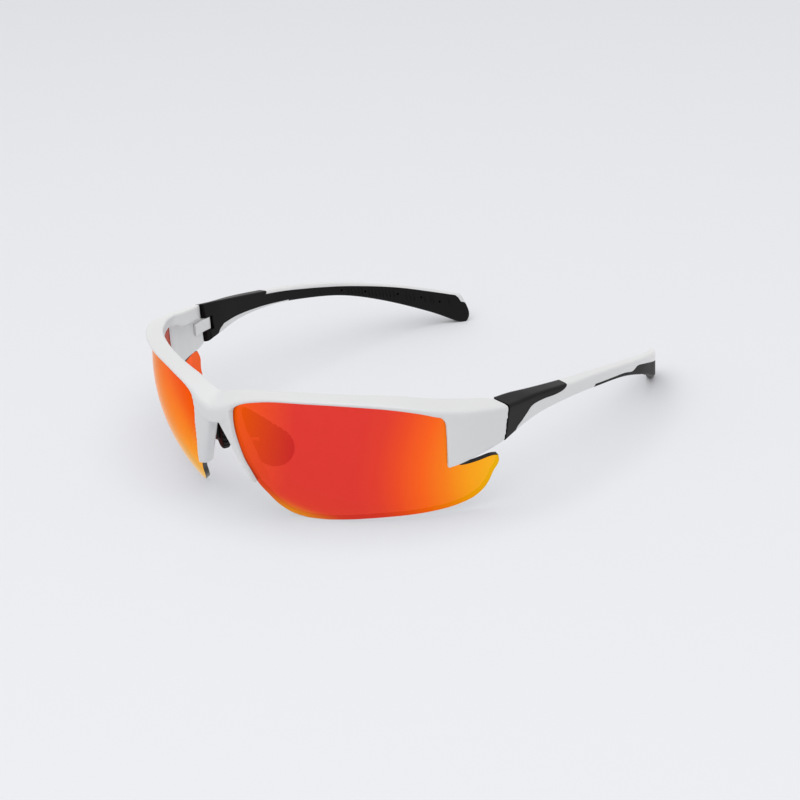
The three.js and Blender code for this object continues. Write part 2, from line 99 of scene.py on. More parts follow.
# Brow stations: x, y, ridge, depth, back, lip, under.
BROW = [
    (0, -80.6, 36.4, 6.5, 40.1, 31.2, 32.3), (5.2, -80.3, 37.6, 6.1, 41.4, 32.6, 33.7),
    (10.2, -79.1, 39.9, 5.7, 42.6, 38.3, 38.3), (20.4, -77, 42.9, 5.6, 44, 41.8, 40.5),
    (34.4, -72.1, 44, 5.8, 44.8, 43, 41), (46.5, -65, 43.7, 6, 44.5, 42.6, 40.6),
    (55, -57.4, 42.3, 6.6, 43.5, 40.9, 39.8), (60.9, -50.7, 40.4, 7, 41.9, 38.6, 38.2),
    (64.4, -45.4, 38.8, 7.2, 40.5, 36.3, 36.2), (66.8, -41, 37.7, 7.8, 39.4, 35.3, 34),
    (69.2, -34.7, 36.5, 7.4, 38.1, 34.2, 32.9), (70.7, -28.6, 35.2, 6.2, 37, 33, 31.8),
    (71.5, -23.06, 34.2, 5.4, 36.3, 32, 30.7),
]
# End piece stations: x, y, top, bottom, thick, foot, lean.
END_PIECE = [
    (65.2, -44, 37.9, 19.1, 4.2, 3.7, 0.9), (67.2, -40.2, 37.2, 19.6, 4.2, 3.7, 1.2),
    (69.2, -34.8, 36.4, 20.5, 4.4, 3.7, 1.6), (70.7, -28.7, 35.1, 21.4, 4.7, 3.8, 1.9),
    (71.5, -23.06, 34.1, 22.2, 5.2, 4.2, 2.1),
]
# Nasal arm stations: z, inner, outer, front, turn, depth.
NASAL_ARM = [
    (37.2, 0.6, 9, -79.8, 0, 5.4), (34.2, 0.8, 8.8, -79.6, 0.2, 5.2), (31.2, 1.6, 9.3, -79.1, 0.7, 4.8),
    (28.2, 2.9, 10.2, -78.6, 1.1, 4.5), (24.4, 4.6, 11.7, -77.9, 1.4, 4.4),
    (20.2, 6.5, 13.2, -77.3, 1.6, 4.3), (16.2, 8.2, 14.7, -76.5, 1.6, 4.2),
    (12.5, 9.9, 15.8, -75.7, 1.6, 4.1),
]
# Temple stations: x, y, top, slope, bottom, thick, foot, lean.
TEMPLE = [
    (71.5, -22.74, 36.4, 2.2, 22.2, 6, 5.2, 2.1), (71.2, -17.3, 35.4, 1.9, 23.9, 5.5, 4.8, 1.5),
    (70.8, -8.4, 33.7, 0.9, 25.5, 4.9, 4.5, 0.8), (70.3, 7.4, 30.9, 0.6, 25.3, 4.5, 4.3, 0.4),
    (68.3, 23.4, 27.9, 0.4, 22.9, 3.9, 3.9, 0.2), (65.1, 39.2, 24.2, 0.4, 19.3, 3.6, 3.6, 0.2),
    (59.9, 55.1, 19.5, 0.4, 13.1, 3.5, 3.6, 0.2), (52.3, 70.9, 14.1, 0.4, 5.1, 2.9, 3.5, 0.2),
    (49, 75.2, 12.4, 0.3, 2.6, 2.3, 3.2, 0.2), (46.8, 77.6, 11.4, 0.3, 0.9, 1.9, 3, 0.2),
    (44.3, 80.6, 10.3, 0.3, -1, 1.5, 2.7, 0.2),
    (42.6, 82.6, 9.6, 0.3, -1.6, 1.5, 2.7, 0.2),
]
LENS_BROW = [(8.2, 36.4), (9.6, 38.8), (13.3, 40.8), (20.4, 42), (33.1, 42.8), (41.1, 42.6),
             (48.3, 41.9), (54.8, 40.8), (60.4, 38.6), (63.6, 36.6), (65.3, 34)]
LENS_NOTCH = [(65.2, 26.1), (64.7, 18.9), (66, 18.8), (67.5, 19.1), (69, 19.7)]
LENS_RIM = [(69.6, 19.1), (69.1, 16.3), (67.8, 13.2), (66.4, 9.9), (64.7, 6.9), (62.3, 4.2),
            (59, 2.5), (54.3, 1.7), (45.5, 1.3), (37.3, 0.6), (30.6, 0)]
LENS_NOSE = [(24.5, 0), (20, 1.4), (16.8, 4.6), (14.8, 8.6), (13, 11.9), (11.8, 16.5),
             (10.5, 20.4), (9.5, 25.2), (8.6, 29.5), (8.1, 33.6)]
CORE_OUTER = [(-30, 40), (-30, 11.5), (-19.8, 21.4), (-18.6, 24.8), (-16.3, 26.5), (-14.1, 28.3),
              (-11.9, 29.9), (-6.5, 30.1), (-0.9, 29.5), (3.3, 29.7), (5.3, 31), (4.3, 32.6),
              (1.2, 35.1), (-9.7, 40)]
CORE_INNER = [(-30, 40), (-30, 11.5), (-19.8, 21.4), (-19.4, 26.2), (-10.3, 27.2), (1.5, 26.7),
              (14.5, 25.1), (14.8, 20.9), (27.9, 16.7), (28.1, 25.4), (12.5, 28.8), (3.4, 30.4), (3.6, 40)]
GRIP_INNER = [(28.1, 25.4), (27.9, 16.7), (49.9, 10.4), (69.7, 0.1), (77.7, -5), (90, -5),
              (90, 5.9), (79.3, 6), (78, 9.3), (77.2, 10.3), (72, 12.2), (57.9, 17.4), (40, 22.5)]
STRIP_OUTER = [(18, 21.9), (20.5, 24.6), (39, 20.7), (46, 18.4), (50, 18.5), (54.9, 16.9),
               (70.9, 10.5), (83.8, 5.6), (90, -5), (49.7, -5), (17.9, 15.9)]
VENTS = [(38.1, 21.8), (47.3, 18.9), (59.9, 14.9), (67.4, 11.7), (74.1, 8.8)]
VENT_R = 0.42
VENT_ENDS = (-1.1, 0.6)
RIBS_FROM = 39.2
RIBS_TO = 77.5
RIB_PITCH = 1.25
RIB_CLEAR = 1.5
RIB_LEAN = 0.12
RIB_HALF = (0.16, 1.35, 0.16)
SEAM = 0.09
CORE_OUTER_SHARP = (0, 1, 2, 13)
CORE_INNER_SHARP = (0, 1, 2, 3, 6, 7, 8, 9, 11, 12)
GRIP_INNER_SHARP = (0, 1, 4, 5, 6, 7, 8, 9)
STRIP_SHARP = (0, 1, 7, 8, 9, 10)
# The temple tip from the side: y, z.
TIP_OUTLINE = [(-40, -10), (77.6, -10), (78.7, -0.2), (79.6, 0.5), (80.2, 1.6), (80.5, 3), (80.4, 4.8),
               (80, 6.8), (79.5, 8.7), (79.1, 10.1), (78.6, 11), (74, 30), (-40, 60)]
TIP_SHARP = (0, 1, 2, 10, 11, 12)


# ------------------------------------------------------------------ curves and rings
def catmull(points, steps):
    """A centripetal Catmull-Rom curve through points, steps pieces to each span."""
    p = np.asarray(points, float)
    p = np.vstack([2 * p[0] - p[1], p, 2 * p[-1] - p[-2]])
    out = []
    t = np.linspace(0, 1, steps, endpoint=False)[:, None]
    for i in range(1, len(p) - 2):
        p0, p1, p2, p3 = p[i - 1:i + 3]
        spans = ((p0, p1), (p1, p2), (p2, p3))
        d0, d1, d2 = (max(np.linalg.norm(b - a), 1e-8) ** 0.5 for a, b in spans)
        m1 = ((p1 - p0) / d0 - (p2 - p0) / (d0 + d1) + (p2 - p1) / d1) * d1
        m2 = ((p2 - p1) / d1 - (p3 - p1) / (d1 + d2) + (p3 - p2) / d2) * d1
        out.append((2 * t ** 3 - 3 * t ** 2 + 1) * p1 + (t ** 3 - 2 * t ** 2 + t) * m1
                   + (-2 * t ** 3 + 3 * t ** 2) * p2 + (t ** 3 - t ** 2) * m2)
    return np.vstack(out + [p[-2][None]])


def refine(rings, steps):
    """Runs a smooth curve through each point of the rings."""
    rings = np.asarray(rings, float)
    tracks = [catmull(rings[:, i], steps) for i in range(rings.shape[1])]
    return np.stack(tracks, axis=1)


def rounded(corners, radii, arc, flat):
    """A ring of four or more corners with rounded edges and points along its flats."""
    c = np.asarray(corners, float)
    n = len(c)
    starts, ends = [], []
    for i in range(n):
        before, after = c[i - 1], c[(i + 1) % n]
        ra = min(radii[i], 0.48 * np.linalg.norm(before - c[i]))
        rb = min(radii[i], 0.48 * np.linalg.norm(after - c[i]))
        starts.append(c[i] + (before - c[i]) / np.linalg.norm(before - c[i]) * ra)
        ends.append(c[i] + (after - c[i]) / np.linalg.norm(after - c[i]) * rb)
    ring = []
    for i in range(n):
        for k in range(arc + 1):
            t = k / arc
            ring.append((1 - t) ** 2 * starts[i] + 2 * t * (1 - t) * c[i] + t ** 2 * ends[i])
        for k in range(1, flat + 1):
            ring.append(ends[i] + (starts[(i + 1) % n] - ends[i]) * k / (flat + 1))
    return np.array(ring)


def inward(stations, i):
    """The unit direction across the path of the stations, towards the head."""
    if abs(stations[i][1] - HINGE_Y) < 0.3:
        return np.array([-math.cos(HINGE_SLANT), -math.sin(HINGE_SLANT), 0])
    a, b = stations[max(i - 1, 0)], stations[min(i + 1, len(stations) - 1)]
    d = np.array([-(b[1] - a[1]), b[0] - a[0], 0.0])
    return d / np.linalg.norm(d)


def at(p, z):
    return np.array([p[0], p[1], z])


# ------------------------------------------------------------------ mesh helpers
def new_object(name, verts, faces):
    mesh = bpy.data.meshes.new(name)
    mesh.from_pydata([tuple(v) for v in np.asarray(verts, float)], [], faces)
    mesh.validate()
    obj = bpy.data.objects.new(name, mesh)
    bpy.context.scene.collection.objects.link(obj)
    bm = bmesh.new()
    bm.from_mesh(mesh)
    bmesh.ops.recalc_face_normals(bm, faces=bm.faces)
    bm.to_mesh(mesh)
    bm.free()
    return obj


def loft(name, rings):
    """A closed solid from rings of equal length, in millimetres."""
    rings = np.asarray(rings, float)
    r, n = rings.shape[:2]
    verts = rings.reshape(-1, 3) * MM
    faces = [(k * n + i, k * n + (i + 1) % n, (k + 1) * n + (i + 1) % n, (k + 1) * n + i)
             for k in range(r - 1) for i in range(n)]
    faces += [tuple(range(n)), tuple(range((r - 1) * n, r * n))]
    obj = new_object(name, verts, faces)
    bm = bmesh.new()
    bm.from_mesh(obj.data)
    bmesh.ops.triangulate(bm, faces=[f for f in bm.faces if len(f.verts) > 4])
    bm.to_mesh(obj.data)
    bm.free()
    return obj


def apply_modifiers(obj):
    bpy.context.view_layer.update()
    deps = bpy.context.evaluated_depsgraph_get()
    mesh = bpy.data.meshes.new_from_object(obj.evaluated_get(deps))
    obj.modifiers.clear()
    obj.data = mesh
    return obj


def remove(obj):
    bpy.data.objects.remove(obj)


def boolean(obj, other, operation="DIFFERENCE"):
    """Combines obj with other and removes other."""
    mod = obj.modifiers.new("cut", "BOOLEAN")
    mod.operation = operation
    mod.object = other
    mod.solver = "MANIFOLD"
    apply_modifiers(obj)
    remove(other)
    return obj


def join(name, parts):
    """One mesh that holds the meshes of all the parts."""
    bm = bmesh.new()
    for part in parts:
        bm.from_mesh(part.data)
    mesh = bpy.data.meshes.new(name)
    bm.to_mesh(mesh)
    bm.free()
    obj = bpy.data.objects.new(name, mesh)
    bpy.context.scene.collection.objects.link(obj)
    for part in parts:
        remove(part)
    return obj


def mirrored(obj, name):
    other = obj.copy()
    other.data = obj.data.copy()
    other.name = name
    other.data.name = name
    bpy.context.scene.collection.objects.link(other)
    other.data.transform(Matrix.Scale(-1, 4, (1, 0, 0)))
    other.data.flip_normals()
    return other


def remesh(obj, voxel, smooth):
    """Merges overlapping solids into one and softens the seams between them."""
    mod = obj.modifiers.new("voxel", "REMESH")
    mod.mode = "VOXEL"
    mod.voxel_size = voxel * MM
    soft = obj.modifiers.new("soft", "SMOOTH")
    soft.iterations = smooth
    soft.factor = 0.5
    return apply_modifiers(obj)


def prism(name, outline, plane, low, high):
    """An outline in y, z extruded along x, or with plane "z" one in x, y extruded along z."""
    n = len(outline)
    place = (lambda u, v, w: (w, u, v)) if plane == "x" else (lambda u, v, w: (u, v, w))
    verts = [place(u, v, w) for w in (low, high) for u, v in outline]
    faces = [tuple(range(n)), tuple(range(n, 2 * n))]
    faces += [(i, (i + 1) % n, n + (i + 1) % n, n + i) for i in range(n)]
    obj = new_object(name, np.array(verts, float) * MM, faces)
    bm = bmesh.new()
    bm.from_mesh(obj.data)
    bmesh.ops.triangulate(bm, faces=bm.faces)
    bm.to_mesh(obj.data)
    bm.free()
    return obj


def grown(outline, by):
    """The outline moved outwards; a negative distance moves it inwards."""
    p = np.asarray(outline, float)
    area = 0.5 * np.sum(p[:, 0] * np.roll(p[:, 1], -1) - np.roll(p[:, 0], -1) * p[:, 1])
    along = np.roll(p, -1, 0) - np.roll(p, 1, 0)
    along /= np.linalg.norm(along, axis=1)[:, None]
    return p + np.c_[along[:, 1], -along[:, 0]] * by * np.sign(area)


def smooth_loop(points, steps, sharp):
    """A closed smooth curve through points, kept sharp at the corners listed."""
    pts = [np.array(p, float) for p in points]
    n = len(pts)
    out = []
    order = sorted(sharp)
    for a, b in zip(order, order[1:] + [order[0] + n]):
        run = [pts[k % n] for k in range(a, b + 1)]
        out.append((catmull(run, steps) if len(run) > 2 else
                    np.linspace(run[0], run[1], steps + 1))[:-1])
    return np.vstack(out)


def cylinder(name, radius, low, high, sides=48):
    """An upright cylinder round the hinge's axis."""
    ring = [(PIN[0] + radius * math.cos(2 * math.pi * k / sides),
             PIN[1] + radius * math.sin(2 * math.pi * k / sides)) for k in range(sides)]
    return prism(name, ring, "z", low, high)


def shade(obj, angle=35):
    """Smooth shading, with the edges sharper than the angle kept sharp."""
    for poly in obj.data.polygons:
        poly.use_smooth = True
    bm = bmesh.new()
    bm.from_mesh(obj.data)
    limit = math.radians(angle)
    for edge in bm.edges:
        edge.smooth = not (len(edge.link_faces) == 2 and edge.calc_face_angle(0) > limit)
    bm.to_mesh(obj.data)
    bm.free()
    return obj


# ------------------------------------------------------------------ lens geometry
def lens_level(z):
    """The radius of the lens's front surface in plan at height z."""
    return LENS_R * np.sqrt(1 - ((z - LENS_CENTRE[2]) / LENS_UPRIGHT_R) ** 2)


def lens_outline():
    """The lens edge as arc length and height, corners of the notch kept fairly tight."""
    brow = catmull(LENS_BROW, LENS_STEPS)
    rim = catmull(LENS_RIM, LENS_STEPS)
    nose = catmull(LENS_NOSE, LENS_STEPS)
    notch = []
    run = [LENS_BROW[-1]] + LENS_NOTCH + [LENS_RIM[0]]
    for before, corner, after in zip(run, run[1:], run[2:]):
        before, corner, after = (np.array(v, float) for v in (before, corner, after))
        ra = min(NOTCH_RADIUS, 0.4 * np.linalg.norm(before - corner))
        rb = min(NOTCH_RADIUS, 0.4 * np.linalg.norm(after - corner))
        a = corner + (before - corner) / np.linalg.norm(before - corner) * ra
        b = corner + (after - corner) / np.linalg.norm(after - corner) * rb
        notch += [(1 - t) ** 2 * a + 2 * t * (1 - t) * corner + t ** 2 * b for t in np.linspace(0, 1, 5)]
    outline = np.vstack([brow, notch, rim, nose])
    level = lens_level(outline[:, 1])
    arc = LENS_R * np.arcsin((outline[:, 0] - LENS_CENTRE[0]) / level)
    return np.c_[arc, outline[:, 1]]


def lens_point(arc, z, offset):
    """The point at arc, z of the lens's front surface, moved offset outwards."""
    level = lens_level(z)
    angle = arc / LENS_R
    d = np.stack([level * np.sin(angle), -level * np.cos(angle), z - LENS_CENTRE[2]], axis=-1)
    scale = (LENS_R + offset) / LENS_R
    upright = (LENS_UPRIGHT_R + offset) / LENS_UPRIGHT_R
    return LENS_CENTRE + d * np.array([scale, scale, upright])


def resample(loop, count):
    """A closed loop as count evenly spaced points."""
    p = np.vstack([loop, loop[:1]])
    d = np.r_[0, np.cumsum(np.linalg.norm(np.diff(p, axis=0), axis=1))]
    t = np.linspace(0, d[-1], count, endpoint=False)
    return np.c_[np.interp(t, d, p[:, 0]), np.interp(t, d, p[:, 1])]


def lens_solid(name, extra=0.0, front=0.0, back=LENS_THICK, bevel=0.0, pitch=1.2):
    """A lens, or with extra the slot for one. front, back: offsets of its two faces.

    The front face has material 0, the rim 1 and the rear face 2.
    """
    count = LENS_EDGE_POINTS
    edge = grown(resample(lens_outline(), count), extra)
    inner = grown(edge, -bevel) if bevel else edge
    bm = bmesh.new()

    def layer(loop, offset):
        pts = lens_point(loop[:, 0], loop[:, 1], offset) * MM
        return [bm.verts.new(p) for p in pts]

    def grid_inside(loop):
        low, high = loop.min(0), loop.max(0)
        us = np.arange(low[0], high[0] + pitch, pitch)
        vs = np.arange(low[1], high[1] + pitch, pitch)
        grid = np.array([(u, v) for u in us for v in vs])
        return grid[points_inside(grid, grown(loop, -0.8 * pitch))]

    if bevel:
        rings = [(inner, front), (edge, front - bevel), (edge, -back + bevel), (inner, -back)]
    else:
        rings = [(edge, front), (edge, -back)]
    loops = [layer(loop, offset) for loop, offset in rings]
    for a, b in zip(loops, loops[1:]):
        for i in range(count):
            j = (i + 1) % count
            bm.faces.new((a[i], a[j], b[j], b[i])).material_index = 1
    for k, (loop, offset) in ((0, rings[0]), (-1, rings[-1])):
        coords = [Vector(p) for p in np.vstack([loop, grid_inside(loop)])]
        edges = [(i, (i + 1) % count) for i in range(count)]
        out_v, _, out_f, orig_v, _, _ = delaunay_2d_cdt(coords, edges, [], 1, 1e-6)
        where = []
        for i, origins in enumerate(orig_v):
            source = origins[0] if origins else None
            if source is not None and source < count:
                where.append(loops[k][source])
            else:
                uv = np.array(out_v[i])
                where.append(bm.verts.new(lens_point(uv[0], uv[1], offset) * MM))
        for f in out_f:
            corners = [where[i] for i in f]
            if len(set(corners)) == 3:
                try:
                    bm.faces.new(corners).material_index = 2 if k else 0
                except ValueError:
                    pass
    bmesh.ops.recalc_face_normals(bm, faces=bm.faces)
    mesh = bpy.data.meshes.new(name)
    bm.to_mesh(mesh)
    bm.free()
    obj = bpy.data.objects.new(name, mesh)
    bpy.context.scene.collection.objects.link(obj)
    return obj


def points_inside(points, loop):
    """Which of the points lie inside the closed loop."""
    x, y = points[:, 0], points[:, 1]
    inside = np.zeros(len(points), bool)
    n = len(loop)
    for i in range(n):
        (x0, y0), (x1, y1) = loop[i], loop[(i + 1) % n]
        cross = (y0 > y) != (y1 > y)
        with np.errstate(divide="ignore", invalid="ignore"):
            inside ^= cross & (x < (x1 - x0) * (y - y0) / (y1 - y0) + x0)
    return inside


# ------------------------------------------------------------------ the front
def brow_loft():
    rings = []
    for i, (x, y, ridge, depth, back, lip, under) in enumerate(BROW):
        across = np.array([0, 1.0, 0]) if i == 0 else inward(BROW, i)
        front = np.array([x, y, 0.0])
        rear = front + across * depth
        corners = [at(front, ridge), at(rear, back), at(rear, under), at(front + across * 0.2, lip)]
        rings.append(rounded(corners, (1.6, 0.9, 0.9, 0.7), arc=6, flat=6))
    half = np.array(rings)
    other = half[1:][::-1] * np.array([-1, 1, 1])
    return loft("brow", refine(np.concatenate([other, half]), 12))


def wall_rings(stations, radii):
    rings = []
    for i, s in enumerate(stations):
        if len(s) == 8:
            x, y, top, slope, bottom, thick, foot, lean = s
        else:
            x, y, top, bottom, thick, foot, lean = s
            slope = 0
        across = inward(stations, i)
        head = np.array([x, y, 0.0])
        base = head + across * lean
        corners = [at(head, top - slope), at(head + across * thick, top),
                   at(base + across * foot, bottom), at(base, bottom)]
        rings.append(rounded(corners, radii, arc=6, flat=6))
    return np.array(rings)


def arm_loft():
    rings = []
    for z, inner, outer, front, turn, depth in NASAL_ARM:
        corners = [(inner, front, z), (outer, front - turn, z), (outer, front + depth, z),
                   (inner + 0.3, front + depth, z)]
        rings.append(rounded(corners, (1.6, 0.6, 0.8, 1.5), arc=6, flat=5))
    return loft("arm", refine(rings, 8))


def corner_fillet():
    """Fills the corner between the brow's underside and the end piece's front edge."""
    radius = FILLET_RADIUS
    x0, y0 = END_PIECE[0][0], END_PIECE[0][1]
    along = np.array([BROW[8][0] - x0, BROW[8][1] - y0])
    along = along / np.linalg.norm(along)
    rings = []
    for d in np.linspace(-0.8, radius, 9):
        p = np.array([x0, y0]) + along * d
        drop = radius - math.sqrt(max(radius ** 2 - (radius - max(d, 0.02)) ** 2, 0))
        bottom = FILLET_LOW + FILLET_RISE * max(d, 0) - drop
        face = np.array([p[0], p[1], 0.0]) + FILLET_ACROSS * 0.25
        rear = face + FILLET_ACROSS * FILLET_THICK
        corners = [at(face, FILLET_TOP), at(rear, FILLET_TOP), at(rear, bottom), at(face, bottom)]
        rings.append(rounded(corners, (0.4, 0.4, 0.4, 0.5), arc=3, flat=3))
    return loft("fillet", rings)


def tongue_outline(extra, reach):
    """The hinge tongue in plan, grown by extra and open by reach towards the inside."""
    pts = [(TONGUE_ROOT[0] - reach, TONGUE_ROOT[1] - extra),
           (TONGUE_ROOT[0] + TONGUE_ROOT_WIDTH + extra, TONGUE_ROOT[1] - extra)]
    radius = BARREL_R + extra
    pts += [(PIN[0] + radius * math.cos(a), PIN[1] + radius * math.sin(a))
            for a in np.linspace(0, math.pi, 25)]
    pts.append((PIN[0] - BARREL_R - reach, PIN[1] - 2))
    return pts


def build_front():
    parts = [brow_loft()]
    end = loft("end", refine(wall_rings(END_PIECE, (1.3, 1.1, 0.8, 0.9)), 12))
    arm = boolean(arm_loft(), lens_solid("arm_cut", SLOT_GAP, 5.0, LENS_THICK + SLOT_GAP, pitch=3))
    for piece in (end, arm, corner_fillet()):
        parts += [mirrored(piece, piece.name + "_m"), piece]
    body = remesh(join("front_shell", parts), 0.3, smooth=10)
    slot = lens_solid("slot", SLOT_GAP, SLOT_GAP, LENS_THICK + SLOT_GAP, pitch=3)
    pocket = prism("pocket", tongue_outline(POCKET_MARGIN, POCKET_REACH), "z",
                   TONGUE_Z[0] - POCKET_MARGIN, TONGUE_Z[1] + POCKET_MARGIN)
    for cutter in (slot, pocket):
        boolean(body, mirrored(cutter, "cut_m"))
        boolean(body, cutter)
    return shade(body)


# ------------------------------------------------------------------ temples
def inner_side(extra):
    """Everything on the head's side of a temple's middle surface."""
    rings = []
    for i, (x, y, _, _, _, thick, _, lean) in enumerate(TEMPLE):
        across = inward(TEMPLE, i)
        middle = np.array([x, y, 0.0]) + across * ((thick + lean) / 2 - extra)
        far = middle + across * 12
        rings.append([at(middle, -10), at(middle, 50), at(far, 50), at(far, -10)])
    rings = np.array(rings)
    first = rings[0] + np.array([0, -8, 0])
    last = rings[-1] + np.array([-6, 6.5, 0])
    return loft("inner_side", np.concatenate([[first], refine(rings, 8), [last]]))


def temple_blank():
    rings = refine(wall_rings(TEMPLE, (1.1, 1.0, 0.9, 1.0)), 12)
    rings[:, :, 2] = np.maximum(rings[:, :, 2], 0.0)
    return loft("blank", rings)


def tip_mask():
    """Rounds the heel and the upper corner of the temple's tip."""
    return prism("tip_mask", smooth_loop(TIP_OUTLINE, 5, TIP_SHARP), "x", 20, 90)


def soft_prism(name, outline, sharp, extra, low, high):
    loop = smooth_loop(outline, 5, sharp)
    return prism(name, grown(loop, extra), "x", low, high)


def core_cutter(extra):
    inner = soft_prism("core_in", CORE_INNER, CORE_INNER_SHARP, extra, 40, 80)
    boolean(inner, inner_side(extra), "INTERSECT")
    outer = soft_prism("core_out", CORE_OUTER, CORE_OUTER_SHARP, extra, 40, 80)
    return boolean(outer, inner, "UNION")


def grip_cutter(extra):
    inner = soft_prism("grip_in", GRIP_INNER, GRIP_INNER_SHARP, extra, 30, 80)
    boolean(inner, inner_side(extra), "INTERSECT")
    outer = soft_prism("strip", STRIP_OUTER, STRIP_SHARP, extra, 30, 80)
    return boolean(outer, inner, "UNION")


def hinge_room():
    """What the core leaves free for the hinge's tongue, its swing and its screw."""
    x, y = PIN
    low, high = TONGUE_Z[0] - HINGE_MARGIN, TONGUE_Z[1] + HINGE_MARGIN
    back = y + BARREL_R + HINGE_MARGIN
    notch = prism("notch", tongue_outline(HINGE_MARGIN, NOTCH_REACH), "z", low, high)
    swing = prism("swing", [(x, y), (x, back), (x - SWING_REACH, back), (x - SWING_REACH, y - SWING_FRONT),
                            (x, y - SWING_FRONT)], "z", low, high)
    rounding = prism("rounding", [(x, y), (x - SWING_REACH, y), (x - SWING_REACH, y - SWING_REACH),
                                  (x, y - SWING_REACH)], "z", 10, 45)
    boolean(rounding, cylinder("knuckle", KNUCKLE_R, 9, 46))
    hole = cylinder("hole", PIN_R + PIN_ROOM, BELOW_HEAD, PIN_TOP)
    boolean(hole, cylinder("head", HEAD_R, BELOW_HEAD, HEAD_TOP), "UNION")
    for other in (swing, rounding, hole):
        boolean(notch, other, "UNION")
    return notch


def inner_face(y, z):
    """On the temple's inner face at y and height z: the point in plan and the way out of the face."""
    curve = catmull(np.array(TEMPLE, float), 12)
    i = int(np.argmin(np.abs(curve[:, 1] - y)))
    d = (curve[min(i + 1, len(curve) - 1)] - curve[max(i - 1, 0)])[:2]
    out = np.array([-d[1], d[0]]) / np.hypot(d[0], d[1])
    _, _, top, _, bottom, thick, foot, lean = curve[i]
    share = min(max((z - bottom) / (top - bottom), 0), 1)
    depth = (foot + lean) * (1 - share) + thick * share
    return curve[i][:2] + out * depth, out


def box_at(name, centre, axes, half):
    corners = [centre + sum(s * h * a for s, h, a in zip(signs, half, axes))
               for signs in ((-1, -1, -1), (1, -1, -1), (1, 1, -1), (-1, 1, -1),
                             (-1, -1, 1), (1, -1, 1), (1, 1, 1), (-1, 1, 1))]
    faces = [(0, 3, 2, 1), (4, 5, 6, 7), (0, 1, 5, 4), (1, 2, 6, 5), (2, 3, 7, 6), (3, 0, 4, 7)]
    return new_object(name, np.array(corners) * MM, faces)


def face_axes(y, z):
    """On the temple's inner face: the point, the way along the face and the way out of it."""
    plan, out = inner_face(y, z)
    return at(plan, z), np.array([-out[1], out[0], 0]), np.array([out[0], out[1], 0])


def grip_relief():
    """Round vents and the fine upright ribs between them, cut into the grip's inner face."""
    cuts = []
    turns = np.linspace(0, 2 * math.pi, 25)[:-1]
    ring = [(VENT_R * math.cos(a), VENT_R * math.sin(a)) for a in turns]
    for y, z in VENTS:
        centre, side, out = face_axes(y, z)
        rings = [[centre + side * u + np.array([0, 0, v]) + out * w for u, v in ring]
                 for w in VENT_ENDS]
        cuts.append(loft("vent", rings))
    y = RIBS_FROM
    while y < RIBS_TO:
        if min(abs(y - v[0]) for v in VENTS) > RIB_CLEAR:
            middle = np.interp(y, [v[0] for v in VENTS], [v[1] for v in VENTS])
            centre, side, out = face_axes(y, middle)
            lean = np.array([0, 0, 1.0]) + side * RIB_LEAN
            cuts.append(box_at("rib", centre, (side, lean, out), RIB_HALF))
        y += RIB_PITCH
    return join("relief", cuts)


def build_temple():
    blank = boolean(temple_blank(), tip_mask(), "INTERSECT")
    room = hinge_room()
    pieces = {}
    for name in ("core", "grip", "shell"):
        piece = blank.copy()
        piece.data = blank.data.copy()
        bpy.context.scene.collection.objects.link(piece)
        pieces[name] = piece
    boolean(pieces["core"], core_cutter(0.0), "INTERSECT")
    boolean(pieces["core"], room)
    boolean(pieces["grip"], grip_cutter(0.0), "INTERSECT")
    boolean(pieces["grip"], core_cutter(SEAM))
    boolean(pieces["shell"], core_cutter(SEAM))
    boolean(pieces["shell"], grip_cutter(SEAM))
    remove(blank)
    for name, piece in pieces.items():
        if name == "grip":
            boolean(piece, grip_relief())
        shade(piece, 40)
    return pieces


# ------------------------------------------------------------------ small parts
def pad_axes():
    """The nose pad's directions: across it, up along it and out of its face."""
    up = PAD_TOP - PAD_BOTTOM
    up = up / np.linalg.norm(up)
    front = PAD_FRONT / np.linalg.norm(PAD_FRONT)
    front = front - up * front.dot(up)
    front /= np.linalg.norm(front)
    return np.cross(up, front), up, front


def teardrop(top, bottom, rise, count=96):
    """The outline round two circles, the upper one rise above the lower one."""
    tilt = math.asin((bottom - top) / rise)
    low = [(bottom * math.cos(a), bottom * math.sin(a))
           for a in np.linspace(math.pi - tilt, 2 * math.pi + tilt, 40)]
    high = [(top * math.cos(a), rise + top * math.sin(a))
            for a in np.linspace(tilt, math.pi - tilt, 24)]
    return resample(np.array(low + high), count)


def on_pad(points):
    side, up, front = pad_axes()
    return PAD_BOTTOM + points @ np.array([side, up, front])


def pad_loft(name, outline, layers):
    """A solid from the outline inset by each layer's amount at each layer's height."""
    rings = []
    for inset, height in layers:
        loop = grown(outline, -inset)
        rings.append(on_pad(np.c_[loop, np.full(len(loop), height)]))
    return loft(name, rings)


def build_pad():
    rise = np.linalg.norm(PAD_TOP - PAD_BOTTOM)
    pad = pad_loft("nose_pad", teardrop(PAD_TOP_R, PAD_BOTTOM_R, rise), PAD_LAYERS)
    side, up, front = pad_axes()
    cuts = []
    for rise_at in PAD_GROOVES:
        half = PAD_BOTTOM_R - 0.02 * max(rise_at, 0) ** 2
        for sign in (-1, 1):
            edge = math.sqrt(max(half ** 2 - min(rise_at, 0) ** 2, 0)) - 0.36 * max(rise_at - 1.5, 0)
            centre = PAD_BOTTOM + side * sign * edge + up * rise_at
            cuts.append(box_at("groove", centre, (side, up, front), (0.75, 0.3, 2)))
    boolean(pad, join("grooves", cuts))
    return shade(pad)


def build_carrier():
    rise = np.linalg.norm(PAD_TOP - PAD_BOTTOM)
    outline = teardrop(CARRIER_TOP_R, CARRIER_BOTTOM_R, CARRIER_SHARE * rise)
    return shade(pad_loft("carrier", outline, CARRIER_LAYERS))


# ------------------------------------------------------------------ materials
def srgb(r, g, b):
    """A colour from its 8-bit display values."""
    def channel(v):
        v /= 255
        return v / 12.92 if v <= 0.04045 else ((v + 0.055) / 1.055) ** 2.4
    return (channel(r), channel(g), channel(b), 1.0)


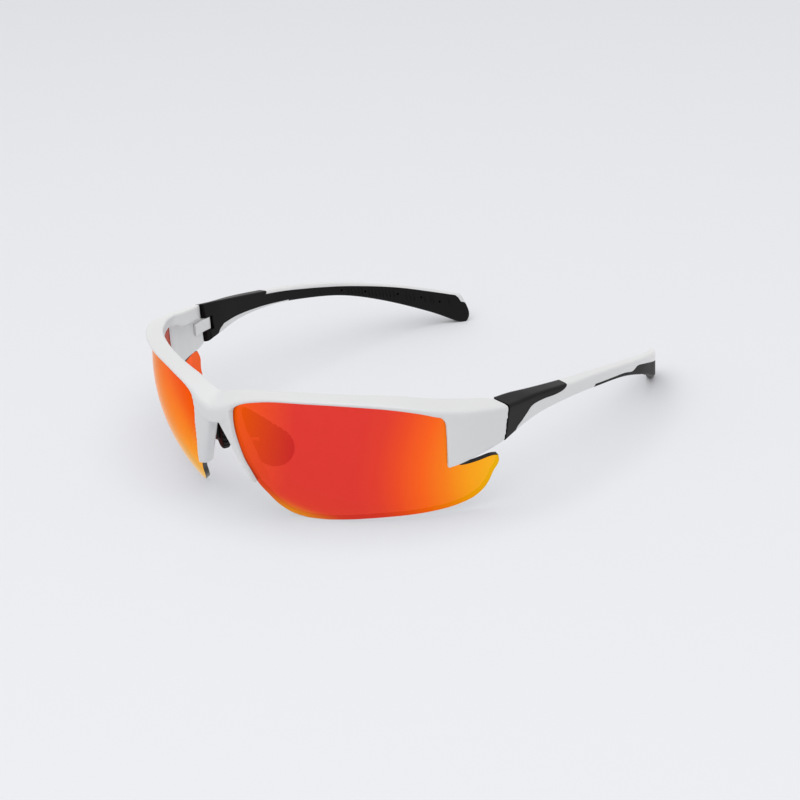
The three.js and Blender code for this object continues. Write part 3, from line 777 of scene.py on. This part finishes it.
def material(name, **sockets):
    mat = bpy.data.materials.new(name)
    mat.use_nodes = True
    shader = mat.node_tree.nodes["Principled BSDF"]
    for key, value in sockets.items():
        shader.inputs[key.replace("_", " ")].default_value = value
    return mat, mat.node_tree, shader


def node(tree, kind, **values):
    """A new node, with each value put in the input or the property of that name."""
    n = tree.nodes.new(kind)
    for key, value in values.items():
        if key in n.inputs:
            n.inputs[key].default_value = value
        else:
            setattr(n, key, value)
    return n


class Tint:
    """A colour mix with its colour sockets picked out."""

    def __init__(self, tree, a=None, b=None):
        def pick(sockets, name):
            return next(k for k in sockets if k.name == name and k.type == "RGBA")

        n = tree.nodes.new("ShaderNodeMix")
        n.data_type = "RGBA"
        self.factor = n.inputs[0]
        self.a, self.b = pick(n.inputs, "A"), pick(n.inputs, "B")
        self.result = pick(n.outputs, "Result")
        if a is not None:
            self.a.default_value = a
        if b is not None:
            self.b.default_value = b


def spread_roughness(tree, noise, shader, low, high):
    """Roughness between low and high, as the noise has it."""
    spread = node(tree, "ShaderNodeMapRange")
    spread.inputs["To Min"].default_value = low
    spread.inputs["To Max"].default_value = high
    tree.links.new(noise.outputs["Fac"], spread.inputs["Value"])
    tree.links.new(spread.outputs["Result"], shader.inputs["Roughness"])


def white_plastic():
    mat, tree, shader = material("white_plastic", Roughness=0.32, Specular_IOR_Level=0.5)
    link = tree.links.new
    coords = node(tree, "ShaderNodeTexCoord")
    noise = node(tree, "ShaderNodeTexNoise", Scale=90.0, Detail=3.0)
    link(coords.outputs["Object"], noise.inputs["Vector"])
    spread_roughness(tree, noise, shader, 0.26, 0.36)
    tint = Tint(tree, srgb(220, 221, 222), srgb(225, 225, 225))
    link(noise.outputs["Fac"], tint.factor)
    link(tint.result, shader.inputs["Base Color"])
    fine = node(tree, "ShaderNodeTexNoise", Scale=2600.0, Detail=2.0)
    link(coords.outputs["Object"], fine.inputs["Vector"])
    bump = node(tree, "ShaderNodeBump", Strength=0.04, Distance=0.00004)
    link(fine.outputs["Fac"], bump.inputs["Height"])
    link(bump.outputs["Normal"], shader.inputs["Normal"])
    return mat


def dark_plastic(name, low, high, rough, grain_scale, strength, distance):
    mat, tree, shader = material(name, Roughness=rough)
    shader.inputs["Specular IOR Level"].default_value = 0.16
    link = tree.links.new
    coords = node(tree, "ShaderNodeTexCoord")
    grain = node(tree, "ShaderNodeTexNoise", Scale=grain_scale, Detail=4.0, Roughness=0.6)
    link(coords.outputs["Object"], grain.inputs["Vector"])
    cloud = node(tree, "ShaderNodeTexNoise", Scale=120.0, Detail=2.0)
    link(coords.outputs["Object"], cloud.inputs["Vector"])
    tint = Tint(tree, low, high)
    link(cloud.outputs["Fac"], tint.factor)
    link(tint.result, shader.inputs["Base Color"])
    spread_roughness(tree, cloud, shader, rough - 0.07, rough + 0.07)
    bump = node(tree, "ShaderNodeBump", Strength=strength, Distance=distance)
    link(grain.outputs["Fac"], bump.inputs["Height"])
    link(bump.outputs["Normal"], shader.inputs["Normal"])
    return mat


def steel():
    mat, tree, shader = material("steel", Metallic=1.0, Roughness=0.3)
    link = tree.links.new
    coords = node(tree, "ShaderNodeTexCoord")
    stretch = node(tree, "ShaderNodeMapping")
    stretch.inputs["Scale"].default_value = (3000, 3000, 300)
    link(coords.outputs["Object"], stretch.inputs["Vector"])
    noise = node(tree, "ShaderNodeTexNoise", Scale=1.0, Detail=2.0)
    link(stretch.outputs["Vector"], noise.inputs["Vector"])
    tint = Tint(tree, (0.55, 0.56, 0.58, 1), (0.72, 0.73, 0.75, 1))
    link(noise.outputs["Fac"], tint.factor)
    link(tint.result, shader.inputs["Base Color"])
    spread_roughness(tree, noise, shader, 0.22, 0.4)
    return mat


def maths(tree, operation, a, b=None):
    """One step of arithmetic on sockets or numbers."""
    n = node(tree, "ShaderNodeMath", operation=operation)
    for socket, value in zip(n.inputs, (a, b)):
        if value is None:
            continue
        if isinstance(value, (int, float)):
            socket.default_value = value
        else:
            tree.links.new(value, socket)
    return n.outputs["Value"]


def ramp_of(tree, value, low, high, stops):
    """A colour for each value from low to high millimetres, from stops of (millimetres, colour)."""
    ramp = node(tree, "ShaderNodeValToRGB")
    elements = ramp.color_ramp.elements
    while len(elements) < len(stops):
        elements.new(0.5)
    for element, (position, colour) in zip(elements, stops):
        element.position = (position - low) / (high - low)
        element.color = colour
    scaled = node(tree, "ShaderNodeMapRange")
    scaled.inputs["From Min"].default_value = low * MM
    scaled.inputs["From Max"].default_value = high * MM
    tree.links.new(value, scaled.inputs["Value"])
    tree.links.new(scaled.outputs["Result"], ramp.inputs["Fac"])
    return ramp


def see_through(tree, shader, share, colour=(1.0, 0.16, 0.1, 1.0)):
    """Lets a share of the light pass, tinted. share is a number or a socket."""
    through = node(tree, "ShaderNodeBsdfTransparent")
    through.inputs["Color"].default_value = colour
    blend = node(tree, "ShaderNodeMixShader")
    if isinstance(share, float):
        blend.inputs[0].default_value = share
    else:
        tree.links.new(share, blend.inputs[0])
    tree.links.new(shader.outputs["BSDF"], blend.inputs[1])
    tree.links.new(through.outputs["BSDF"], blend.inputs[2])
    tree.links.new(blend.outputs["Shader"], tree.nodes["Material Output"].inputs["Surface"])


# The lens's colours from in front: millimetres from the middle plane, and the colour there. The red is the
# coat's own; the orange and yellow outwards are painted sheen and reflection, the coat's change of colour
# with angle put in by position.
LENS_OUTWARD_PAINTED_SHEEN = [(46, srgb(224, 51, 47)), (51, srgb(229, 58, 42)), (55, srgb(241, 74, 30)),
                (60, srgb(255, 103, 15)), (64, srgb(255, 135, 14)), (67.5, srgb(255, 171, 12)),
                (71.5, srgb(255, 196, 22))]
# Painted sheen: below this height the lens takes the orange of points further out.
PAINTED_SHEEN_DROP_FROM = 26
PAINTED_SHEEN_DROP = 0.22
# Painted sheen: an orange patch round the lens's upper nasal corner.
PAINTED_SHEEN_NASAL_CORNER = (8, 40)
PAINTED_SHEEN_NASAL_COLOUR = srgb(255, 94, 3)
PAINTED_SHEEN_NASAL_REACH = (22, 2)
# At a slant: height in millimetres, and the colour there. Its yellower lower end is painted sheen, put in
# by height.
LENS_SLANTED_PAINTED_SHEEN = [(4, srgb(255, 198, 26)), (10, srgb(255, 178, 24)), (15, srgb(255, 160, 28)),
                (21, srgb(255, 141, 42)), (30, srgb(255, 128, 50)), (40, srgb(250, 104, 58))]
SLANT = (0.46, 0.65)
# From the wearer's side: millimetres from the middle plane, and the colour there.
LENS_WITHIN = [(30, srgb(214, 44, 38)), (56, srgb(224, 52, 40)), (64, srgb(246, 86, 40)),
               (70, srgb(252, 102, 44))]
LENS_REAR = [(30, srgb(222, 48, 40)), (56, srgb(228, 54, 40)), (64, srgb(248, 92, 40)),
             (70, srgb(254, 108, 44))]
COAT_CLEAR = 0.19
REAR_CLEAR = 0.15
REAR_CLEAR_FROM_WITHIN = 0.9


def mirror_coat():
    """A red mirror that turns orange and yellow outwards, at its nasal corner and at a slant. The orange
    and yellow outwards, lower down and at the nasal corner are painted sheen and reflection, put in by
    position.
    """
    mat, tree, shader = material("mirror_coat", Metallic=1.0, Roughness=0.16)
    shader.inputs["Specular Tint"].default_value = (1.0, 0.8, 0.48, 1.0)
    link = tree.links.new
    coords = node(tree, "ShaderNodeTexCoord")
    split = node(tree, "ShaderNodeSeparateXYZ")
    link(coords.outputs["Object"], split.inputs["Vector"])
    across = maths(tree, "ABSOLUTE", split.outputs["X"])
    height = split.outputs["Z"]
    # Painted sheen and reflection: the colour turns orange and yellow outwards and lower down.
    drop = maths(tree, "MULTIPLY", maths(tree, "SUBTRACT", PAINTED_SHEEN_DROP_FROM * MM, height), PAINTED_SHEEN_DROP)
    outward = maths(tree, "ADD", across, drop)
    outer = ramp_of(tree, outward, 40, 72, LENS_OUTWARD_PAINTED_SHEEN)
    # Painted sheen: orange round the lens's upper nasal corner.
    dx = maths(tree, "SUBTRACT", across, PAINTED_SHEEN_NASAL_CORNER[0] * MM)
    dz = maths(tree, "MULTIPLY", maths(tree, "SUBTRACT", height, PAINTED_SHEEN_NASAL_CORNER[1] * MM), 0.6)
    distance = maths(tree, "SQRT", maths(tree, "ADD", maths(tree, "MULTIPLY", dx, dx),
                                         maths(tree, "MULTIPLY", dz, dz)))
    corner = node(tree, "ShaderNodeMapRange")
    corner.inputs["From Min"].default_value = PAINTED_SHEEN_NASAL_REACH[0] * MM
    corner.inputs["From Max"].default_value = PAINTED_SHEEN_NASAL_REACH[1] * MM
    link(distance, corner.inputs["Value"])
    mix = Tint(tree, b=PAINTED_SHEEN_NASAL_COLOUR)
    link(corner.outputs["Result"], mix.factor)
    link(outer.outputs["Color"], mix.a)
    # Painted sheen: at a slant the colour is yellower lower down.
    slanted = ramp_of(tree, height, 0, 44, LENS_SLANTED_PAINTED_SHEEN)
    weight = node(tree, "ShaderNodeLayerWeight", Blend=0.5)
    turn = node(tree, "ShaderNodeMapRange", interpolation_type="SMOOTHSTEP")
    turn.inputs["From Min"].default_value = SLANT[0]
    turn.inputs["From Max"].default_value = SLANT[1]
    link(weight.outputs["Facing"], turn.inputs["Value"])
    shift = Tint(tree)
    link(turn.outputs["Result"], shift.factor)
    link(mix.result, shift.a)
    link(slanted.outputs["Color"], shift.b)
    behind = ramp_of(tree, across, 20, 72, LENS_WITHIN)
    side = node(tree, "ShaderNodeNewGeometry")
    coat = Tint(tree)
    link(side.outputs["Backfacing"], coat.factor)
    link(shift.result, coat.a)
    link(behind.outputs["Color"], coat.b)
    link(coat.result, shader.inputs["Base Color"])
    see_through(tree, shader, COAT_CLEAR)
    return mat


def lens_back():
    """The lens's rear surface: a red mirror from behind, clear from within."""
    mat, tree, shader = material("lens_back", Metallic=1.0, Roughness=0.16)
    coords = node(tree, "ShaderNodeTexCoord")
    split = node(tree, "ShaderNodeSeparateXYZ")
    tree.links.new(coords.outputs["Object"], split.inputs["Vector"])
    across = maths(tree, "ABSOLUTE", split.outputs["X"])
    ramp = ramp_of(tree, across, 20, 72, LENS_REAR)
    tree.links.new(ramp.outputs["Color"], shader.inputs["Base Color"])
    side = node(tree, "ShaderNodeNewGeometry")
    more = REAR_CLEAR_FROM_WITHIN - REAR_CLEAR
    share = maths(tree, "ADD", maths(tree, "MULTIPLY", side.outputs["Backfacing"], more), REAR_CLEAR)
    see_through(tree, shader, share, (1.0, 0.9, 0.88, 1.0))
    return mat


WHITE = white_plastic()
# Dark finishes: name, two colours, roughness, grain scale, grain strength, grain depth in metres.
BLACK = dark_plastic("black_plastic", srgb(4, 4, 5), srgb(10, 10, 12), 0.42, 1800.0, 0.2, 0.00008)
RUBBER = dark_plastic("soft_rubber", srgb(8, 8, 9), srgb(17, 16, 17), 0.6, 1400.0, 0.3, 0.0001)
STEEL = steel()
COAT = mirror_coat()
BACK = lens_back()
EDGE = dark_plastic("lens_edge", srgb(30, 27, 28), srgb(38, 34, 35), 0.3, 900.0, 0.1, 0.00004)


# ------------------------------------------------------------------ assembly
def place(obj, name, body, slot_name, mat, *nodes):
    obj.name = name
    obj.data.name = name
    slots = np.zeros(len(obj.data.polygons), np.int32)
    obj.data.polygons.foreach_get("material_index", slots)
    obj.data.materials.clear()
    finishes = mat if isinstance(mat, list) else [mat]
    for finish in finishes:
        obj.data.materials.append(finish)
    obj.data.polygons.foreach_set("material_index", np.minimum(slots, len(finishes) - 1))
    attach(obj, body)
    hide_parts(*nodes)
    return obj


def place_pair(obj, name, body, slot_name, mat, node_name):
    """Places a +X piece and its mirror image. body may hold {side}."""
    other = mirrored(obj, name + "_m")
    for piece, side in zip((obj, other), SIDES):
        place(piece, f"{name}_{side}", body.format(side=side), slot_name, mat, f"{node_name}_{side}")


place(build_front(), "front_shell", "frame", "white_frame", WHITE, "frame_front")
lens = lens_solid("lens", bevel=0.15)
shade(lens, 30)
place_pair(lens, "mirror_lens", "frame", "mirror_lens", [COAT, EDGE, BACK], "lens")
for side in SIDES:
    bpy.data.objects[f"mirror_lens_{side}"].visible_diffuse = False
temple = build_temple()
place_pair(temple["core"], "core_cover", "temple_{side}", "black_trim", BLACK, "temple_core")
place_pair(temple["shell"], "shell_cover", "temple_{side}", "white_frame", WHITE, "temple_shell")
place_pair(temple["grip"], "rubber_grip", "temple_{side}", "soft_rubber", RUBBER, "temple_grip")
place_pair(build_pad(), "rubber_pad", "nose_pad_{side}", "soft_rubber", RUBBER, "nose_pad")
place_pair(build_carrier(), "pad_carrier", "nose_pad_{side}", "black_trim", BLACK, "nose_pad_carrier")
for side in SIDES:
    for node_name, mat in (("hinge_tongue", WHITE), ("hinge_screw", STEEL), ("nose_pad_wire", STEEL)):
        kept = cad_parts[f"{node_name}_{side}"]
        kept.data.materials.clear()
        kept.data.materials.append(mat)

# ------------------------------------------------------------------ camera, floor and light
CAMERA_LENS = 104.52
FLOOR_HALF = 8
WORLD_LIGHT = 0.6
WORLD_SEEN_IN_GLOSS = 1.0
camera_data = bpy.data.cameras.new("camera")
camera_data.lens = CAMERA_LENS
camera_data.sensor_width = 36
camera_data.clip_end = 50
camera = bpy.data.objects.new("camera", camera_data)
bpy.context.scene.collection.objects.link(camera)
camera.matrix_world = Matrix(((0.72044, -0.23798, 0.65141, 0.501717),
                              (0.69010, 0.33912, -0.63934, -0.491208),
                              (-0.06875, 0.91014, 0.40855, 0.322995),
                              (0, 0, 0, 1)))
bpy.context.scene.camera = camera

square = [(x * FLOOR_HALF, y * FLOOR_HALF, 0) for x, y in ((-1, -1), (1, -1), (1, 1), (-1, 1))]
floor = new_object("floor", square, [(0, 1, 2, 3)])
floor_mat, sweep, floor_shader = material("floor", Roughness=0.9, Specular_IOR_Level=0.1)
floor_shader.inputs["Base Color"].default_value = srgb(236, 237, 241)
glow = node(sweep, "ShaderNodeEmission", Strength=1.0)
path = node(sweep, "ShaderNodeLightPath")
swap = node(sweep, "ShaderNodeMixShader")
sweep.links.new(path.outputs["Is Glossy Ray"], swap.inputs[0])
sweep.links.new(floor_shader.outputs["BSDF"], swap.inputs[1])
sweep.links.new(glow.outputs["Emission"], swap.inputs[2])
sweep.links.new(swap.outputs["Shader"], sweep.nodes["Material Output"].inputs["Surface"])
floor.data.materials.append(floor_mat)

world = bpy.data.worlds.new("world")
bpy.context.scene.world = world
world.use_nodes = True
sky = world.node_tree
sky.nodes["Background"].inputs["Color"].default_value = (1, 1, 1, 1)
room_light = node(sky, "ShaderNodeLightPath")
level = node(sky, "ShaderNodeMapRange")
level.inputs["To Min"].default_value = WORLD_LIGHT
level.inputs["To Max"].default_value = WORLD_SEEN_IN_GLOSS
sky.links.new(room_light.outputs["Is Glossy Ray"], level.inputs["Value"])
sky.links.new(level.outputs["Result"], sky.nodes["Background"].inputs["Strength"])


def area_light(name, position, target, size, energy):
    data = bpy.data.lights.new(name, "AREA")
    data.shape = "DISK"
    data.size = size
    data.energy = energy
    light = bpy.data.objects.new(name, data)
    bpy.context.scene.collection.objects.link(light)
    light.location = position
    light.rotation_euler = (Vector(target) - Vector(position)).to_track_quat("-Z", "Y").to_euler()


area_light("top", (0.25, -0.45, 1.5), (0, 0, 0), 2.4, 16)
bpy.context.scene.view_settings.view_transform = "Standard"
bpy.context.view_layer.update()
